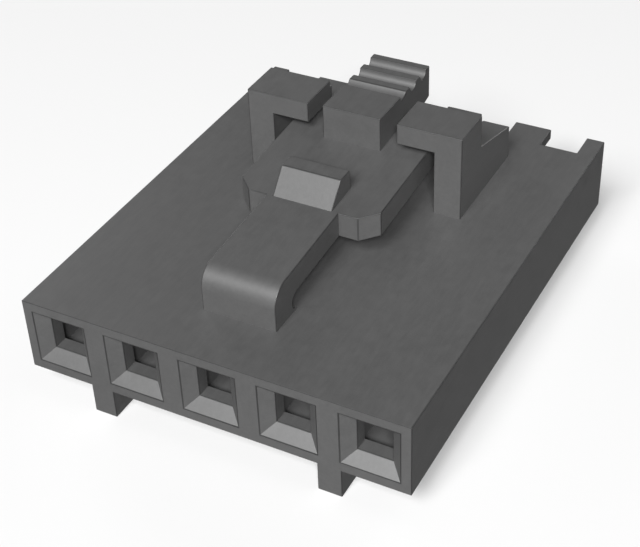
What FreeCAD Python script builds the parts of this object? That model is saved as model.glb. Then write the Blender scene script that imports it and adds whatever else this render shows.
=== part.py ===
import FreeCAD, Part
import math
import os
import Sketcher

# Wire to board connector housing, one moulding. Millimetres, +Z up, +X across the circuits.
# The mating face looks along -Y and the wires leave along +Y. The two ribs stand on Z = 0.

doc = FreeCAD.newDocument("connector_housing")

# Driving sizes
sizes = {
    "pitch": 2.54,               # spacing of the circuits
    "circuits": 5,               # circuits in the row
    "body_length": 15.4,         # mating face to wire face
    "body_height": 2.51,         # block alone, without ribs and latch
    "side_wall": 0.52,           # outer wall beside the end cavities
    "floor_thickness": 0.37,     # wall under the terminal cavities
    "roof_thickness": 0.36,      # wall over the terminal cavities
    "cavity_width": 1.46,        # terminal cavity across the circuit
    "front_wall": 0.82,          # mating face to the terminal's stop
    "mouth_size": 1.84,          # square lead-in at the mating face
    "lead_in_depth": 0.36,       # length of the tapered lead-in
    "pin_hole_size": 1.08,       # square hole behind the lead-in
    "notch_width": 1.27,         # comb notch in the roof over each wire
    "notch_depth": 1.02,         # length of the notches and of the teeth between them
    "partition_setback": 1.02,   # the partitions end this far inside the wire face
    "window_width": 1.1,         # window for the terminal's locking lance
    "window_length": 2.3,        # window along the circuit
    "window_front": 7.1,         # mating face to the window
    "rib_height": 1.01,          # polarising ribs below the block
    "rib_width": 0.77,           # polarising ribs across
    "root_front": 1.93,          # mating face to the latch root
    "root_thickness": 0.98,      # latch root along the block
    "slot_radius": 0.31,         # full round at the closed end of the gap under the arm
    "arm_thickness": 0.83,       # latch arm and plate
    "arm_width": 2.44,           # latch arm across
    "arm_angle": 3.5,            # rise of the arm towards the wires, degrees
    "bend_radius": 0.65,         # outer bend over the root
    "plate_front": 5.87,         # mating face to the winged plate
    "plate_width": 4.76,         # winged plate across
    "plate_chamfer": 0.52,       # cut front corners of the plate
    "plate_overrun": 0.12,       # the plate ends this far behind the guards
    "catch_width": 2.01,         # catch across
    "catch_length": 1.26,        # catch along its foot
    "catch_height": 0.74,        # catch above the arm at the foot of its ramp
    "catch_ramp": 0.63,          # run of the ramp
    "catch_lean": 0.05,          # rear face leans forwards by this much
    "tab_front": 9.19,           # mating face to the thumb block
    "tab_width": 2.01,           # thumb block and tab across
    "tab_height": 2.96,          # top of the tab above the block
    "block_length": 1.495,       # smooth part of the thumb block
    "first_groove": 0.39,        # groove behind it, up to the front of the first ridge
    "first_fall": 0.04,          # run of its steep side
    "first_depth": 0.17,         # it is shallower than the others
    "ridge_pitch": 0.765,        # spacing of the grip ridges
    "ridge_land": 0.28,          # flat top of each ridge
    "groove_fall": 0.17,         # run of the short side of the other grooves
    "groove_depth": 0.25,        # the other grooves below the ridges
    "tab_rear_height": 1.83,     # lower rear edge of the tab above the block
    "tab_under_angle": 12.6,     # slope of the tab's underside, degrees
    "guard_front": 9.22,         # mating face to the guards
    "guard_length": 1.56,        # guards along the block
    "guard_post": 0.93,          # guard posts across
    "guard_gap": 0.42,           # plate edge to post
    "guard_overlap": 0.84,       # overhang past the plate edge
    "guard_lift": 0.29,          # plate to overhang at the guards' rear face
    "guard_thickness": 0.7,      # overhang
    "gusset_length": 2.44,       # gusset behind each post
    "gusset_front": 1.78,        # gusset height at the post
    "gusset_rear": 1.16,         # gusset height at its rear end
}
ridges = 3

sheet = doc.addObject("Spreadsheet::Sheet", "dims")
for row, (alias, size) in enumerate(sizes.items(), start=1):
    sheet.set("A%d" % row, str(size))
    sheet.setAlias("A%d" % row, alias)
doc.recompute()

# Places that several features share, as expressions on the sheet
block_top = "(dims.rib_height + dims.body_height)"
half_row = "((dims.circuits - 1) * dims.pitch / 2)"
half_body = "(%s + dims.cavity_width / 2 + dims.side_wall)" % half_row
pin_height = "(dims.rib_height + dims.body_height / 2)"
cavity_floor = "(dims.rib_height + dims.floor_thickness)"
cavity_roof = "(%s - dims.roof_thickness)" % block_top
rib_inner = "(%s - dims.pitch / 2 - dims.rib_width / 2)" % half_row
rib_outer = "(%s - dims.pitch / 2 + dims.rib_width / 2)" % half_row
slot_centre = "(dims.root_front + dims.root_thickness + dims.slot_radius)"
guard_rear = "(dims.guard_front + dims.guard_length)"
plate_end = "(%s + dims.plate_overrun)" % guard_rear
tab_top = "(%s + dims.tab_height)" % block_top
block_end = "(dims.tab_front + dims.block_length)"


def under_arm(place):
    # Height of the arm's underside at a distance from the mating face
    return ("(%s + dims.slot_radius * (1 + 1 / cos(dims.arm_angle * 1 deg))"
            " + (%s - %s) * tan(dims.arm_angle * 1 deg))" % (block_top, place, slot_centre))


def over_arm(place):
    return "(%s + dims.arm_thickness / cos(dims.arm_angle * 1 deg))" % under_arm(place)


def ridge_front(ridge):
    return "(%s + dims.first_groove + %d * dims.ridge_pitch)" % (block_end, ridge)


def ridge_rear(ridge):
    return "(%s + dims.ridge_land)" % ridge_front(ridge)


tab_end = ridge_rear(ridges - 1)
overhang_under = "(%s + dims.guard_lift)" % over_arm(guard_rear)
guard_top = "(%s + dims.guard_thickness)" % overhang_under
post_inner = "(dims.plate_width / 2 + dims.guard_gap)"
post_outer = "(%s + dims.guard_post)" % post_inner
overhang_inner = "(dims.plate_width / 2 - dims.guard_overlap)"

body = doc.addObject("PartDesign::Body", "housing")
body.Label = "housing"
planes = {feature.Role: feature for feature in body.Origin.OriginFeatures}


def new_sketch(name, role, lift=None):
    # A sketch on one of the body's own planes, or lifted off it along the plane's normal
    sketch = body.newObject("Sketcher::SketchObject", name)
    sketch.AttachmentSupport = (planes[role], [""])
    sketch.MapMode = "FlatFace"
    if lift:
        sketch.setExpression("AttachmentOffset.Base.z", lift)
    return sketch


def drive(sketch, kind, references, expression):
    # One dimension of a sketch, bound to the sheet
    index = sketch.addConstraint(Sketcher.Constraint(kind, *references))
    sketch.setExpression("Constraints[%d]" % index, expression)


def pin_point(sketch, line, end, across, up):
    for kind, axis, place in (("DistanceX", -2, across), ("DistanceY", -1, up)):
        if place == "0":
            sketch.addConstraint(Sketcher.Constraint("PointOnObject", line, end, axis))
        else:
            point = sketch.getPoint(line, end)
            start = point.x if kind == "DistanceX" else point.y
            drive(sketch, kind, (-1, 1, line, end, start), place)


def outline(sketch, corners, scoops=None):
    # A closed outline through its corners. A side in scoops is an arc that rises from its first
    # corner to its second: a "level" one starts level, an "upright" one arrives upright.
    scoops = scoops or {}
    count = len(corners)
    turn = 2 * math.pi / count
    ring = [FreeCAD.Vector(math.cos(k * turn), math.sin(k * turn), 0) for k in range(count)]
    line_of = {}
    for k in range(count):
        if k not in scoops:
            line_of[k] = sketch.addGeometry(Part.LineSegment(ring[k], ring[(k + 1) % count]), False)
    for k in range(count):
        before = (k - 1) % count
        if k in line_of:
            pin_point(sketch, line_of[k], 1, *corners[k])
            if before in line_of:
                sketch.addConstraint(Sketcher.Constraint("Coincident", line_of[before], 2, line_of[k], 1))
        else:
            pin_point(sketch, line_of[before], 2, *corners[k])
    doc.recompute()
    for k, kind in scoops.items():
        before, after = line_of[(k - 1) % count], line_of[(k + 1) % count]
        low, high = sketch.getPoint(before, 2), sketch.getPoint(after, 1)
        run, rise = high.x - low.x, high.y - low.y
        if kind == "level":
            radius = (run ** 2 + rise ** 2) / (2 * rise)
            centre = FreeCAD.Vector(low.x, low.y + radius, 0)
        else:
            radius = (run ** 2 + rise ** 2) / (2 * run)
            centre = FreeCAD.Vector(high.x - radius, high.y, 0)
        start, end = [math.atan2(p.y - centre.y, p.x - centre.x) for p in (low, high)]
        circle = Part.Circle(centre, FreeCAD.Vector(0, 0, 1), radius)
        bow = sketch.addGeometry(Part.ArcOfCircle(circle, start, end), False)
        sketch.addConstraint(Sketcher.Constraint("Coincident", bow, 1, before, 2))
        sketch.addConstraint(Sketcher.Constraint("Coincident", bow, 2, after, 1))
        rule = ("Vertical", bow, 3, bow, 1) if kind == "level" else ("Horizontal", bow, 3, bow, 2)
        sketch.addConstraint(Sketcher.Constraint(*rule))


def rectangle(sketch, left, right, low, high):
    outline(sketch, [(left, low), (right, low), (right, high), (left, high)])


def pad(name, sketch, length, side="One side", backwards=False):
    feature = body.newObject("PartDesign::Pad", name)
    feature.Profile = sketch
    feature.SideType = side
    feature.Reversed = backwards
    feature.setExpression("Length", length)
    doc.recompute()
    return feature


def pocket(name, sketch, length, backwards=False):
    # A cut of a given length, or right through where the length is None
    feature = body.newObject("PartDesign::Pocket", name)
    feature.Profile = sketch
    feature.Reversed = backwards
    if length is None:
        feature.Type = "ThroughAll"
    else:
        feature.setExpression("Length", length)
    doc.recompute()
    return feature


def minus(place):
    return "-(%s)" % place


# Block and ribs: the moulding's front outline, drawn along its whole length
front = new_sketch("front_outline", "XZ_Plane")
outline(front, [
    (minus(half_body), "dims.rib_height"),
    (minus(rib_outer), "dims.rib_height"),
    (minus(rib_outer), "0"),
    (minus(rib_inner), "0"),
    (minus(rib_inner), "dims.rib_height"),
    (rib_inner, "dims.rib_height"),
    (rib_inner, "0"),
    (rib_outer, "0"),
    (rib_outer, "dims.rib_height"),
    (half_body, "dims.rib_height"),
    (half_body, block_top),
    (minus(half_body), block_top),
])
pad("block", front, "dims.body_length", backwards=True)

# One circuit at the left end of the row: lead-in, pin hole, cavity, comb notch and lance window
first = minus(half_row)


def across(width, side):
    return "%s %s %s / 2" % (first, side, width)


def circuit_square(name, size, lift=None):
    sketch = new_sketch(name, "XZ_Plane", lift)
    rectangle(sketch, across(size, "-"), across(size, "+"),
              "%s - %s / 2" % (pin_height, size), "%s + %s / 2" % (pin_height, size))
    return sketch


lead_in = pocket("lead_in", circuit_square("mouth", "dims.mouth_size"), "dims.lead_in_depth")
lead_in.setExpression("TaperAngle", "-atan((dims.mouth_size - dims.pin_hole_size) / 2 / dims.lead_in_depth)")
pin_hole = pocket("pin_hole", circuit_square("pin_square", "dims.pin_hole_size"), "dims.front_wall")

section = new_sketch("cavity_section", "XZ_Plane", "-dims.front_wall")
rectangle(section, across("dims.cavity_width", "-"), across("dims.cavity_width", "+"), cavity_floor, cavity_roof)
cavity = pocket("cavity", section, None)

comb = new_sketch("notch_plan", "XY_Plane", block_top)
rectangle(comb, across("dims.notch_width", "-"), across("dims.notch_width", "+"),
          "dims.body_length - dims.notch_depth", "dims.body_length")
notch = pocket("notch", comb, "dims.roof_thickness")

lance = new_sketch("window_plan", "XY_Plane", cavity_floor)
rectangle(lance, across("dims.window_width", "-"), across("dims.window_width", "+"),
          "dims.window_front", "dims.window_front + dims.window_length")
window = pocket("lance_window", lance, "dims.floor_thickness")

row = body.newObject("PartDesign::LinearPattern", "circuit_row")
row.Originals = [lead_in, pin_hole, cavity, notch, window]
row.Direction = (planes["X_Axis"], [""])
row.setExpression("Length", "(dims.circuits - 1) * dims.pitch")
row.setExpression("Occurrences", "dims.circuits")
body.Tip = row
doc.recompute()

# The partitions end short of the wire face, so the roof's teeth stand free
rear = new_sketch("partition_end", "XZ_Plane", "-(dims.body_length - dims.partition_setback)")
row_edge = "(%s + dims.cavity_width / 2)" % half_row
rectangle(rear, minus(row_edge), row_edge, cavity_floor, cavity_roof)
pocket("partition_cut", rear, "dims.partition_setback")

# Latch: root, bend, arm and plate are one bent strip, drawn from the side
side = new_sketch("latch_side", "YZ_Plane")
lean = math.radians(sizes["arm_angle"])
top = sizes["rib_height"] + sizes["body_height"]
radius, bend = sizes["slot_radius"], sizes["bend_radius"]
thickness = sizes["arm_thickness"]
foot = FreeCAD.Vector(sizes["root_front"], top, 0)
slot = FreeCAD.Vector(foot.x + sizes["root_thickness"] + radius, top + radius, 0)
rise = FreeCAD.Vector(-math.sin(lean), math.cos(lean), 0)
along = FreeCAD.Vector(math.cos(lean), math.sin(lean), 0)
far = sizes["guard_front"] + sizes["guard_length"] + sizes["plate_overrun"]
under_start = slot + rise * radius
under_end = under_start + along * ((far - under_start.x) / along.x)
over_end = under_end + FreeCAD.Vector(0, thickness / math.cos(lean), 0)
# the bend's centre lies a bend radius behind the root's front and below the arm's top
over_line = over_end + along * ((foot.x + bend - over_end.x) / along.x)
bend_centre = FreeCAD.Vector(foot.x + bend, over_line.y - bend / math.cos(lean), 0)
over_start = bend_centre + rise * bend
up = FreeCAD.Vector(0, 0, 1)
line, arc = Part.LineSegment, Part.ArcOfCircle
quarter = math.pi / 2
strip = [
    line(foot, FreeCAD.Vector(foot.x, bend_centre.y, 0)),
    arc(Part.Circle(bend_centre, up, bend), quarter + lean, 2 * quarter),
    line(over_start, over_end),
    line(over_end, under_end),
    line(under_end, under_start),
    arc(Part.Circle(slot, up, radius), quarter + lean, 3 * quarter),
    line(FreeCAD.Vector(slot.x, top, 0), foot),
]
root, bow, over, tail, under, round_end, sole = side.addGeometry(strip, False)
for rule in (
    ("Tangent", root, 2, bow, 2),
    ("Tangent", bow, 1, over, 1),
    ("Coincident", over, 2, tail, 1),
    ("Coincident", tail, 2, under, 1),
    ("Tangent", under, 2, round_end, 1),
    ("Tangent", round_end, 2, sole, 1),
    ("Coincident", sole, 2, root, 1),
    ("Vertical", root),
    ("Vertical", tail),
    ("Horizontal", sole),
    ("Parallel", over, under),
):
    side.addConstraint(Sketcher.Constraint(*rule))
drive(side, "DistanceX", (-1, 1, root, 1, foot.x), "dims.root_front")
drive(side, "DistanceY", (-1, 1, root, 1, foot.y), block_top)
drive(side, "DistanceX", (root, 1, round_end, 3, slot.x - foot.x), "dims.root_thickness + dims.slot_radius")
drive(side, "DistanceX", (-1, 1, tail, 1, far), plate_end)
drive(side, "Radius", (round_end, radius), "dims.slot_radius")
drive(side, "Radius", (bow, bend), "dims.bend_radius")
drive(side, "Distance", (over, 1, under, thickness), "dims.arm_thickness")
drive(side, "Angle", (over, lean), "dims.arm_angle * 1 deg")
pad("latch_strip", side, "dims.plate_width", side="Symmetric")

# The strip is trimmed in plan to the narrow arm and the winged plate with its cut corners
plan = new_sketch("latch_plan", "XY_Plane", block_top)
spare = "dims.plate_chamfer"
for sign in ("", "-"):
    outline(plan, [
        (sign + "(dims.arm_width / 2)", "dims.root_front - %s" % spare),
        (sign + "(dims.plate_width / 2 + %s)" % spare, "dims.root_front - %s" % spare),
        (sign + "(dims.plate_width / 2 + %s)" % spare, "dims.plate_front + dims.plate_chamfer + %s" % spare),
        (sign + "(dims.plate_width / 2 - dims.plate_chamfer)", "dims.plate_front"),
        (sign + "(dims.arm_width / 2)", "dims.plate_front"),
    ])
pocket("latch_trim", plan, None, backwards=True)

# Catch: a ramp up from the arm and a steep rear face
catch = new_sketch("catch_side", "YZ_Plane")
catch_top = "%s + dims.catch_height" % over_arm("dims.plate_front")
catch_rear = "(dims.plate_front + dims.catch_length)"
outline(catch, [
    ("dims.plate_front", "%s - dims.arm_thickness / 2" % over_arm("dims.plate_front")),
    (catch_rear, "%s - dims.arm_thickness / 2" % over_arm(catch_rear)),
    (catch_rear, over_arm(catch_rear)),
    ("%s - dims.catch_lean" % catch_rear, catch_top),
    ("dims.plate_front + dims.catch_ramp", catch_top),
    ("dims.plate_front", over_arm("dims.plate_front")),
])
pad("catch", catch, "dims.catch_width", side="Symmetric")

# Thumb block and tab with grip ridges: each groove falls steeply and scoops up to its ridge,
# the first, shallow one less steeply than the others
thumb = new_sketch("thumb_side", "YZ_Plane")
corners = [("dims.tab_front", tab_top)]
scoops = {}
for ridge in range(ridges):
    if ridge:
        start, fall, depth = ridge_rear(ridge - 1), "dims.groove_fall", "dims.groove_depth"
    else:
        start, fall, depth = block_end, "dims.first_fall", "dims.first_depth"
    scoops[len(corners) + 1] = "upright" if ridge else "level"
    corners.append((start, tab_top))
    corners.append(("%s + %s" % (start, fall), "%s - %s" % (tab_top, depth)))
    corners.append((ridge_front(ridge), tab_top))
corners += [
    (tab_end, tab_top),
    (tab_end, "%s + dims.tab_rear_height" % block_top),
    (plate_end, "%s + dims.tab_rear_height - (%s - %s) * tan(dims.tab_under_angle * 1 deg)"
     % (block_top, tab_end, plate_end)),
    ("dims.tab_front", under_arm("dims.tab_front")),
]
outline(thumb, corners, scoops)
pad("thumb_tab", thumb, "dims.tab_width", side="Symmetric")

# Guards: a post beside the plate with an overhang above it, and a gusset behind the post
hook = new_sketch("guard_front", "XZ_Plane", "-dims.guard_front")
outline(hook, [
    (post_inner, block_top),
    (post_outer, block_top),
    (post_outer, guard_top),
    (overhang_inner, guard_top),
    (overhang_inner, overhang_under),
    (post_inner, overhang_under),
])
guard = pad("guard", hook, "dims.guard_length", backwards=True)

brace = new_sketch("gusset_side", "YZ_Plane", post_inner)
gusset_end = "(%s + dims.gusset_length)" % guard_rear
outline(brace, [
    (guard_rear, block_top),
    (gusset_end, block_top),
    (gusset_end, "%s + dims.gusset_rear" % block_top),
    (guard_rear, "%s + dims.gusset_front" % block_top),
])
gusset = pad("gusset", brace, "dims.guard_post")

other_side = body.newObject("PartDesign::Mirrored", "other_guard")
other_side.Originals = [guard, gusset]
other_side.MirrorPlane = (planes["YZ_Plane"], [""])
body.Tip = other_side
body.setExpression("Placement.Base.y", "-dims.body_length / 2")
doc.recompute()

for item in doc.Objects:
    for state in ("Invalid", "Error"):
        if state in item.State:
            raise RuntimeError("%s is %s" % (item.Name, state))
if body.Shape.isNull() or not body.Shape.isValid() or len(body.Shape.Solids) != 1:
    raise RuntimeError("housing is not one valid solid")

os.makedirs("parts", exist_ok=True)
body.Shape.exportStep("parts/%s.step" % body.Label)
print("housing volume %.2f mm3" % body.Shape.Volume, body.Shape.BoundBox)
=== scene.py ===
import math

import bmesh
import bpy
from mathutils import Euler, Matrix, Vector


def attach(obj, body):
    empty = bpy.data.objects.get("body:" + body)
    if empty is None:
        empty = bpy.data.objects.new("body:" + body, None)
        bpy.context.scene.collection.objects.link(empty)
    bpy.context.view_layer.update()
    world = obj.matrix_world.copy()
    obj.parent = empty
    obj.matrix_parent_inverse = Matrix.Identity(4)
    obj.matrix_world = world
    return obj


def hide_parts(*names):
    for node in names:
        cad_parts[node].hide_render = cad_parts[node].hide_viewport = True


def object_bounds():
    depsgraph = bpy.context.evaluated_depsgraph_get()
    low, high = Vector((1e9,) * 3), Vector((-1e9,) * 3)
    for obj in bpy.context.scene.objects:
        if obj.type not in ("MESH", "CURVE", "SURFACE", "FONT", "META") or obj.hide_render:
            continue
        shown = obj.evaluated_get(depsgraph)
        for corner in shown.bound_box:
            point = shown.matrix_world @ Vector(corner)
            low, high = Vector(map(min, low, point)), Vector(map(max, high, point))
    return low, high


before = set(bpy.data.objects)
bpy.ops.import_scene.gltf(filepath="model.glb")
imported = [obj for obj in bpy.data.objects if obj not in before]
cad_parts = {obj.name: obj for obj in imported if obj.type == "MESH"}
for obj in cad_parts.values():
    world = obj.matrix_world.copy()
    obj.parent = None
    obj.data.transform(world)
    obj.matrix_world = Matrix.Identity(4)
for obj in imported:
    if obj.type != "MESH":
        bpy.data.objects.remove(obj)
cadLow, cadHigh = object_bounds()
mm = 0.001
print("frame loaded, box in mm:", [round(c / mm, 2) for c in cadHigh - cadLow])

scene = bpy.context.scene
halfway = 0.5   # parts a mark that is off, 0, from one that is on, 1


# A socket that can be added, subtracted, multiplied and compared like a number
class Wire:
    def __init__(self, sheet, socket):
        self.sheet = sheet
        self.socket = socket

    def beside(self, key):   # another output of the same node
        return Wire(self.sheet, self.sheet.find(self.socket.node.outputs, key))

    def __add__(self, other):
        return self.sheet.maths("ADD", self, other)

    def __sub__(self, other):
        return self.sheet.maths("SUBTRACT", self, other)

    def __rsub__(self, other):
        return self.sheet.maths("SUBTRACT", other, self)

    def __mul__(self, other):
        return self.sheet.maths("MULTIPLY", self, other)

    def __gt__(self, other):
        return self.sheet.maths("GREATER_THAN", self, other)

    def __lt__(self, other):
        return self.sheet.maths("LESS_THAN", self, other)

    __radd__ = __add__
    __rmul__ = __mul__


# One node tree, of a material, the world or a modifier, filled node by node
class Sheet:
    def __init__(self, tree):
        self.tree = tree
        tree.nodes.clear()

    def find(self, sockets, key):
        if isinstance(key, int):
            return sockets[key]
        return next(s for s in sockets if key in (s.identifier, s.name))

    def plug(self, node, key, value):
        socket = self.find(node.inputs, key)
        if isinstance(value, Wire):
            self.tree.links.new(value.socket, socket)
        else:
            socket.default_value = value

    def add(self, kind, settings, values, output=0):
        node = self.tree.nodes.new(kind)
        for name, setting in settings.items():
            setattr(node, name, setting)
        for key, value in values.items():
            self.plug(node, key, value)
        return Wire(self, self.find(node.outputs, output)) if node.outputs else None

    def maths(self, operation, first, second):
        return self.add("ShaderNodeMath", {"operation": operation}, {0: first, 1: second})

    def mixColour(self, factor, low, high):
        return self.add("ShaderNodeMix", {"data_type": "RGBA"},
                        {"Factor_Float": factor, "A_Color": low, "B_Color": high}, "Result_Color")

    def stretched(self, vector, factors):
        return self.add("ShaderNodeVectorMath", {"operation": "MULTIPLY"}, {0: vector, 1: factors})


def grey(level):
    return (level, level, level, 1.0)


# Dark grey glass-filled thermoplastic straight from the mould
plasticLook = {
    "darkGrey": 0.062,
    "lightGrey": 0.079,
    "paintedEdgeShade": 0.025,       # painted shade: the rounded edges are coloured darker than the faces, as thin dark lines
    # Noises, at scales per metre: slow change along the melt's flow, cloudy filler, short fibres lying
    # along the flow, spark-eroded mould texture and faint waves where the walls cooled unevenly
    "noises": {
        "flow": {"scale": 260, "detail": 3, "rough": 0.5, "stretch": (1.0, 0.22, 1.0)},
        "mottle": {"scale": 2600, "detail": 4, "rough": 0.6},
        "fibre": {"scale": 9000, "detail": 2, "rough": 0.6, "stretch": (1.0, 0.16, 1.0)},
        "grain": {"scale": 21000, "detail": 3, "rough": 0.65},
        "wave": {"scale": 420, "detail": 1, "rough": 0.5},
    },
    "flowTone": 0.35,        # shares of the tone, one in all
    "mottleTone": 0.3,
    "fibreTone": 0.35,
    "toneLow": 0.36,         # where the mixed noise gives the dark grey
    "toneHigh": 0.64,
    "roughLow": 0.47,
    "roughHigh": 0.57,
    "mottleRough": 0.6,      # shares of the roughness, one in all
    "grainRough": 0.4,
    "refraction": 1.5,
    "sheen": 1.0,            # specular level of the filled resin
    "grainDepth": 0.0022 * mm,
    "waveDepth": 0.012 * mm,
}


def mouldedPlastic(look):
    material = bpy.data.materials.new("mouldedPlastic")
    material.use_nodes = True
    sheet = Sheet(material.node_tree)
    place = sheet.add("ShaderNodeTexCoord", {}, {}, "Object")

    def noise(name):
        layer = look["noises"][name]
        vector = sheet.stretched(place, layer["stretch"]) if "stretch" in layer else place
        return sheet.add("ShaderNodeTexNoise", {"noise_dimensions": "3D"}, {
            "Vector": vector, "Scale": layer["scale"], "Detail": layer["detail"],
            "Roughness": layer["rough"]}, "Fac")

    flow, mottle, fibre, grain, wave = map(noise, ("flow", "mottle", "fibre", "grain", "wave"))
    edge = sheet.add("ShaderNodeAttribute", {"attribute_name": "roundedEdge"}, {}, "Fac")

    tone = flow * look["flowTone"] + mottle * look["mottleTone"] + fibre * look["fibreTone"]
    spread = sheet.add("ShaderNodeMapRange", {"clamp": True},
                       {"Value": tone, "From Min": look["toneLow"], "From Max": look["toneHigh"]}, "Result")
    colour = sheet.mixColour(spread, grey(look["darkGrey"]), grey(look["lightGrey"]))
    # Painted shade along the rounded edges: their faces take the dark edge grey
    colour = sheet.mixColour(edge, colour, grey(look["paintedEdgeShade"]))
    roughSpan = look["roughHigh"] - look["roughLow"]
    roughness = look["roughLow"] + roughSpan * (mottle * look["mottleRough"] + grain * look["grainRough"])

    height = grain * look["grainDepth"] + wave * look["waveDepth"]
    relief = sheet.add("ShaderNodeBump", {}, {"Strength": 1.0, "Distance": 1.0, "Height": height}, "Normal")
    surface = sheet.add("ShaderNodeBsdfPrincipled", {}, {
        "Base Color": colour, "Roughness": roughness, "IOR": look["refraction"], "Normal": relief,
        "Specular IOR Level": look["sheen"]})
    sheet.add("ShaderNodeOutputMaterial", {}, {"Surface": surface})
    return material


plastic = mouldedPlastic(plasticLook)
print("plastic mixed from", len(plasticLook["noises"]), "noises")


# The housing is the modelled solid with its outer edges rounded as a mould leaves them
housingEdges = {
    "mergeGap": 0.002 * mm,       # corners nearer than this are one corner
    "flatAngle": math.radians(0.5),
    "sharpAngle": math.radians(30),
    "blendAngle": math.radians(50),
    "radius": 0.03 * mm,
    "steps": 3,
    "mouthShare": 0.8,            # the mouths keep a keener edge
    "mouthFront": cadLow.y + 0.95 * mm,
    "slotNear": cadLow.y + 2.98 * mm,   # the slot runs out to nothing here, so its foot stays sharp
    "slotFar": cadLow.y + 3.5 * mm,
    "slotTop": cadLow.z + 3.72 * mm,
}
bodySlot, edgeSlot = 0, 1         # the bevel's faces are in the second slot until they are marked


# A geometry tree with a shape, the named sizes and a finish as inputs, and a wire from each of them
def openTree(name, sizes):
    tree = bpy.data.node_groups.new(name, "GeometryNodeTree")
    tree.is_modifier = True
    inputs = {"Geometry": "NodeSocketGeometry", **dict.fromkeys(sizes, "NodeSocketFloat"),
              "finish": "NodeSocketMaterial"}
    for label, kind in inputs.items():
        tree.interface.new_socket(label, in_out="INPUT", socket_type=kind)
    tree.interface.new_socket("Geometry", in_out="OUTPUT", socket_type="NodeSocketGeometry")
    sheet = Sheet(tree)
    entry = sheet.add("NodeGroupInput", {}, {})
    return sheet, {label: entry.beside(label) for label in inputs}


def closeTree(sheet, shape, finish):
    real = sheet.add("GeometryNodeRealizeInstances", {}, {"Geometry": shape})
    done = sheet.add("GeometryNodeSetMaterial", {}, {"Geometry": real, "Material": finish})
    sheet.add("NodeGroupOutput", {}, {"Geometry": done})
    return sheet.tree


def useTree(piece, tree, values):
    modifier = piece.modifiers.new(tree.name, "NODES")
    modifier.node_group = tree
    for socket in tree.interface.items_tree:
        if socket.in_out == "INPUT" and socket.name in values:
            modifier[socket.identifier] = values[socket.name]


# The bevel's weight of each edge: sharp outer edges only, none at the slot's foot and less at the mouths
def edgeWeightTree():
    sheet, given = openTree("edgeWeights", ["sharpAngle", "mouthShare", "mouthFront",
                                            "slotNear", "slotFar", "slotTop"])
    fold = sheet.add("GeometryNodeInputMeshEdgeAngle", {}, {}, "Signed Angle")
    spot = sheet.add("GeometryNodeInputPosition", {}, {})
    along = sheet.add("ShaderNodeSeparateXYZ", {}, {"Vector": spot}, "Y")
    up = along.beside("Z")
    outer = fold > given["sharpAngle"]
    slotFoot = (along > given["slotNear"]) * (along < given["slotFar"]) * (up < given["slotTop"])
    mouth = along < given["mouthFront"]
    weight = outer * (1 - slotFoot) * (1 - mouth * (1 - given["mouthShare"]))
    stored = sheet.add("GeometryNodeStoreNamedAttribute", {"data_type": "FLOAT", "domain": "EDGE"},
                       {"Geometry": given["Geometry"], "Name": "bevel_weight_edge", "Value": weight})
    return closeTree(sheet, stored, given["finish"])


# The bevel's own faces get a mark that the plastic and the shading read, and go back to the body's slot
def edgeMarkTree():
    sheet, given = openTree("edgeMarks", [])
    slot = sheet.add("GeometryNodeInputMaterialIndex", {}, {})
    stored = sheet.add("GeometryNodeStoreNamedAttribute", {"data_type": "FLOAT", "domain": "FACE"},
                       {"Geometry": given["Geometry"], "Name": "roundedEdge", "Value": slot > halfway})
    level = sheet.add("GeometryNodeSetMaterialIndex", {}, {"Geometry": stored, "Material Index": bodySlot})
    return closeTree(sheet, level, given["finish"])


def mergedCopy(node, edges):
    shape = bmesh.new()
    shape.from_mesh(node.data)
    bmesh.ops.remove_doubles(shape, verts=shape.verts, dist=edges["mergeGap"])
    bmesh.ops.dissolve_limit(shape, angle_limit=edges["flatAngle"], verts=shape.verts, edges=shape.edges,
                             delimit={"NORMAL"})
    mesh = bpy.data.meshes.new("mergedMesh")
    shape.to_mesh(mesh)
    shape.free()
    piece = bpy.data.objects.new("mouldedHousing", mesh)
    scene.collection.objects.link(piece)
    return piece


def roundEdges(piece, edges):
    bevel = piece.modifiers.new("roundEdges", "BEVEL")
    bevel.limit_method = "WEIGHT"
    bevel.width = edges["radius"]
    bevel.segments = edges["steps"]
    bevel.use_clamp_overlap = False
    bevel.material = edgeSlot


def plainMesh(piece, name):
    mesh = bpy.data.meshes.new_from_object(piece.evaluated_get(bpy.context.evaluated_depsgraph_get()))
    mesh.name = name
    piece.modifiers.clear()
    piece.data = mesh


# Flat faces shade flat, curved walls run on, and a rounded edge blends between its two faces
def evenShading(mesh, edges):
    rounded = [mark.value > halfway for mark in mesh.attributes["roundedEdge"].data]
    meeting = [[] for corner in mesh.vertices]
    for face in mesh.polygons:
        for corner in face.vertices:
            meeting[corner].append(face)

    def blend(guide, faces, reach):
        total = Vector()
        for face in faces:
            if face.normal.angle(guide.normal) < reach:
                total += face.normal * face.area
        return total.normalized() if total.length > 0 else guide.normal.copy()

    def cornerNormal(face, corner):
        flats = [near for near in meeting[corner] if not rounded[near.index]]
        if not rounded[face.index]:
            return blend(face, flats, edges["sharpAngle"])
        nearest = min(flats, key=lambda flat: flat.normal.angle(face.normal), default=None)
        if nearest and nearest.normal.angle(face.normal) < edges["blendAngle"]:
            return blend(nearest, flats, edges["sharpAngle"])
        bends = [near for near in meeting[corner] if rounded[near.index]]
        return blend(face, bends, edges["blendAngle"])

    normals = []
    for face in mesh.polygons:
        face.use_smooth = True
        normals.extend(cornerNormal(face, corner) for corner in face.vertices)
    mesh.normals_split_custom_set(normals)


def buildHousing(node, edges, finish):
    piece = mergedCopy(node, edges)
    for slot in (bodySlot, edgeSlot):
        piece.data.materials.append(finish)
    useTree(piece, edgeWeightTree(), {**edges, "finish": finish})
    roundEdges(piece, edges)
    useTree(piece, edgeMarkTree(), {"finish": finish})
    plainMesh(piece, "housingMesh")
    evenShading(piece.data, edges)
    return piece


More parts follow.
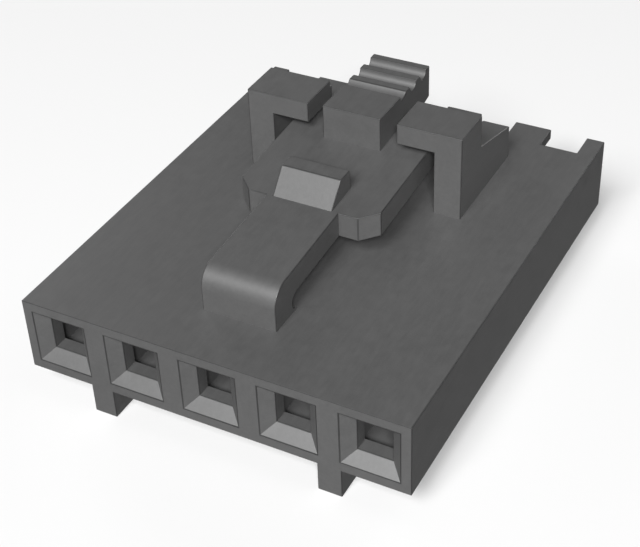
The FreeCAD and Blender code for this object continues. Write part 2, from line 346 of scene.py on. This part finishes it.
housing = buildHousing(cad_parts["housing"], housingEdges, plastic)
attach(housing, "root")
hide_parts("housing")
print("housing rounded:", len(housing.data.polygons), "faces")


stageLook = {
    "floorSize": 3.0,
    "floorGrey": 0.72,
    "floorRough": 0.7,
    "floorSheen": 0.0,
    "worldGrey": 1.0,
    "worldStrength": 0.03,
}


def paleCard(look):
    material = bpy.data.materials.new("paleFloor")
    material.use_nodes = True
    sheet = Sheet(material.node_tree)
    surface = sheet.add("ShaderNodeBsdfPrincipled", {}, {
        "Base Color": grey(look["floorGrey"]), "Roughness": look["floorRough"],
        "Specular IOR Level": look["floorSheen"]})
    sheet.add("ShaderNodeOutputMaterial", {}, {"Surface": surface})
    return material


def buildFloor(look):
    half = look["floorSize"] / 2
    mesh = bpy.data.meshes.new("floorMesh")
    corners = [(-half, -half, 0), (half, -half, 0), (half, half, 0), (-half, half, 0)]
    mesh.from_pydata(corners, [], [(0, 1, 2, 3)])
    mesh.materials.append(paleCard(look))
    floor = bpy.data.objects.new("floor", mesh)
    scene.collection.objects.link(floor)
    floor.visible_glossy = False   # the sides mirror the dim room, as if the sheet were matt card
    return floor


def buildWorld(look):
    world = bpy.data.worlds.new("softWorld")
    world.use_nodes = True
    scene.world = world
    sheet = Sheet(world.node_tree)
    glow = sheet.add("ShaderNodeBackground", {},
                     {"Color": grey(look["worldGrey"]), "Strength": look["worldStrength"]})
    sheet.add("ShaderNodeOutputWorld", {}, {"Surface": glow})


buildFloor(stageLook)
buildWorld(stageLook)
print("floor and soft world set")


# Angles are round the object: azimuth from the front towards +X, elevation above the floor
lightPlan = {
    "keyBox": {"azimuth": 28.5, "elevation": 36, "distance": 0.48, "size": 0.105, "power": 2.12},
    "frontBox": {"azimuth": 3, "elevation": 44, "distance": 0.48, "size": 0.21, "power": 2.36},
    "leftBox": {"azimuth": 238, "elevation": 11, "distance": 0.48, "size": 0.2, "power": 0.5},
    "backBox": {"azimuth": 168, "elevation": 11, "distance": 0.48, "size": 0.2, "power": 0.68},
}


def around(azimuth, elevation):
    turn, lift = math.radians(azimuth), math.radians(elevation)
    return Vector((math.sin(turn) * math.cos(lift), -math.cos(turn) * math.cos(lift), math.sin(lift)))


def buildLights(lamps):
    target = (cadLow + cadHigh) / 2
    for name, plan in lamps.items():
        lamp = bpy.data.lights.new(name, "AREA")
        lamp.shape = "DISK"
        lamp.size = plan["size"]
        lamp.energy = plan["power"]
        light = bpy.data.objects.new(name, lamp)
        away = around(plan["azimuth"], plan["elevation"])
        light.location = target + away * plan["distance"]
        light.rotation_euler = (-away).to_track_quat("-Z", "Y").to_euler()
        light.visible_camera = False
        scene.collection.objects.link(light)


buildLights(lightPlan)
print("lights placed:", ", ".join(lightPlan))


cameraPlan = {
    "place": (17.70, -32.64, 29.47),   # mm from the origin between the rib feet
    "azimuth": 29.157,
    "elevation": 37.219,
    "roll": -2.463,
    "lens": 80.84,
    "sensor": 36.0,
    "nearClip": 1.0 * mm,
    "farClip": 10.0,
}


def buildCamera(plan):
    lens = bpy.data.cameras.new("photoView")
    lens.sensor_width = plan["sensor"]
    lens.lens = plan["lens"]
    lens.clip_start = plan["nearClip"]
    lens.clip_end = plan["farClip"]
    camera = bpy.data.objects.new("photoView", lens)
    sight = around(plan["azimuth"], plan["elevation"]) * -1
    turn = sight.to_track_quat("-Z", "Y") @ Euler((0, 0, math.radians(plan["roll"]))).to_quaternion()
    camera.location = Vector(plan["place"]) * mm
    camera.rotation_euler = turn.to_euler()
    scene.collection.objects.link(camera)
    scene.camera = camera


buildCamera(cameraPlan)
scene.view_settings.view_transform = "Standard"
print("camera set at the photo's angle")
